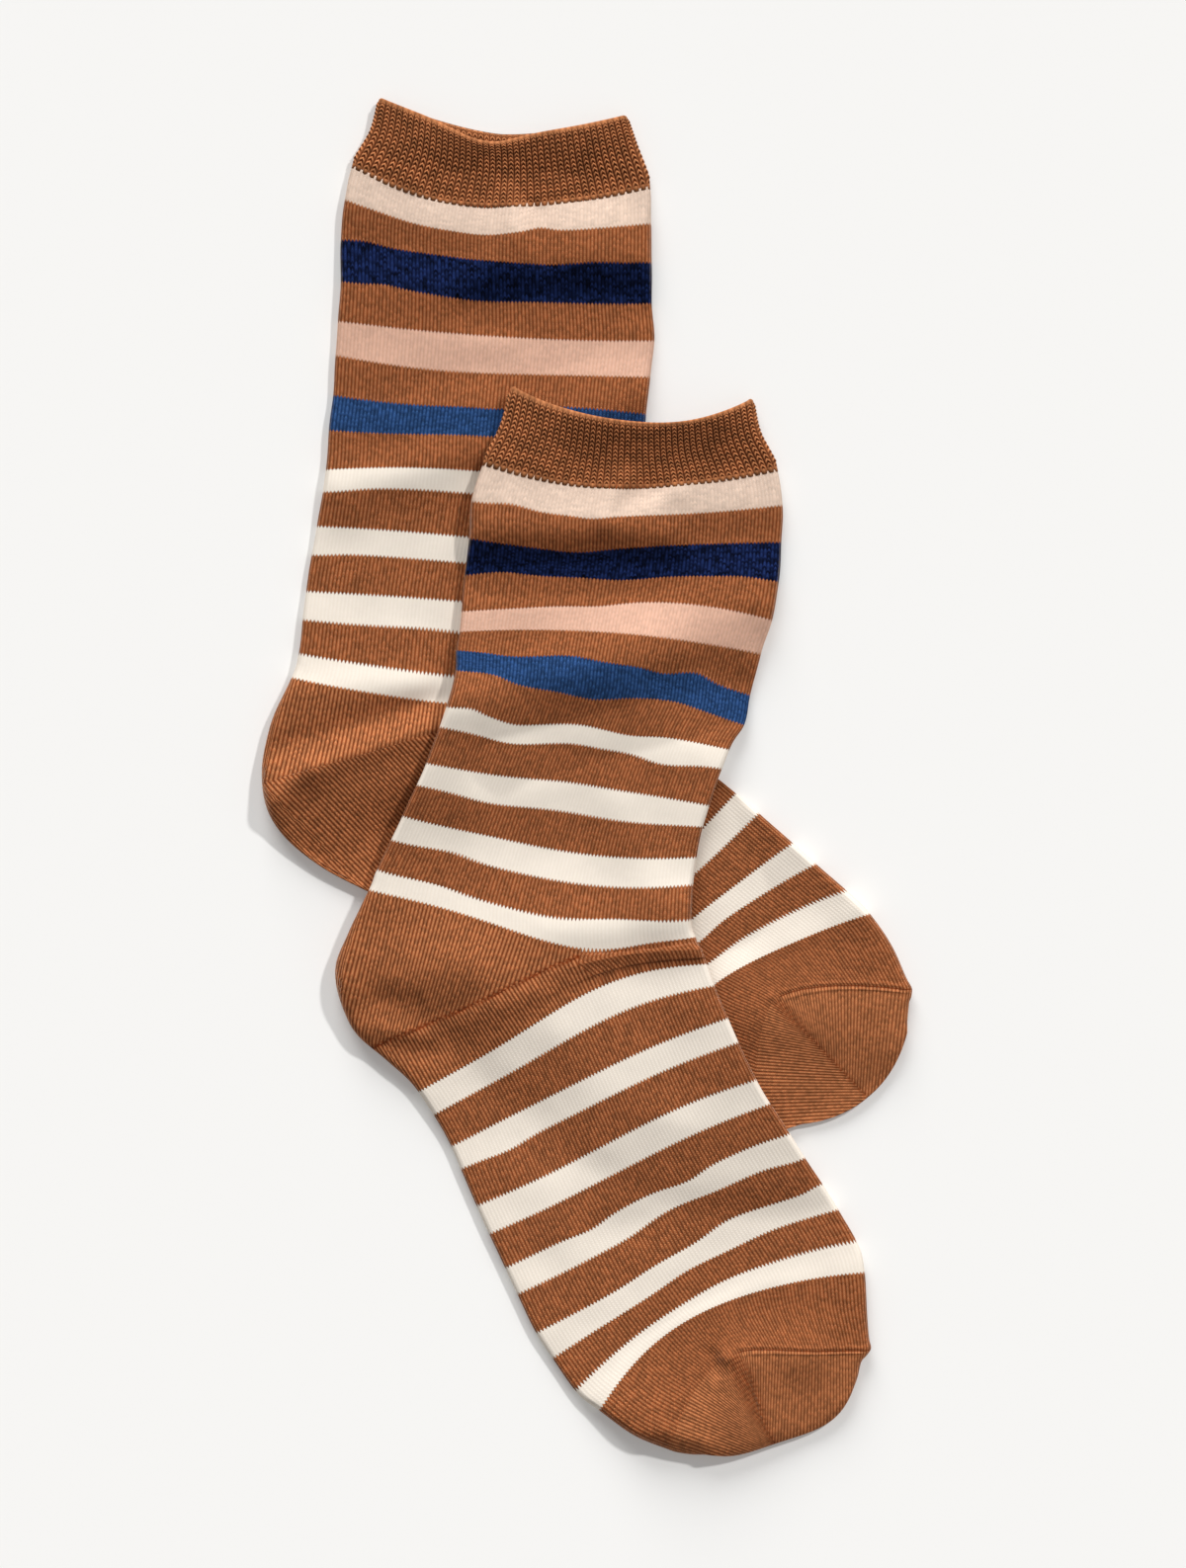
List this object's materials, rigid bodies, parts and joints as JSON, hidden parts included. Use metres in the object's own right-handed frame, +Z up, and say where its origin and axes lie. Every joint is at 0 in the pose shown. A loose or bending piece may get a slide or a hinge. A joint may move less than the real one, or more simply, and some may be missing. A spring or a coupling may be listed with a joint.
{
  "type": "pair of socks",
  "caption": "Pair of striped knitted socks with ribbed cuffs, turned heels and seamed toes, laid flat with one sock over the other.",
  "frame": {"origin": "centre of the pair's bounding box in plan, on the surface that it lies on", "axes": "+Z up from the surface, +Y from the toes towards the cuffs, +X to the right as seen from above"},
  "size_m": [0.1938, 0.404, 0.012],
  "materials": {
    "sock_under_knit": "matt brown fine-gauge cotton knit with coloured bands",
    "sock_over_knit": "matt brown fine-gauge cotton knit with coloured bands"
  },
  "bodies": {
    "root": {"sock_under": "sock_under_knit", "sock_over": "sock_over_knit"}
  },
  "joints": []
}
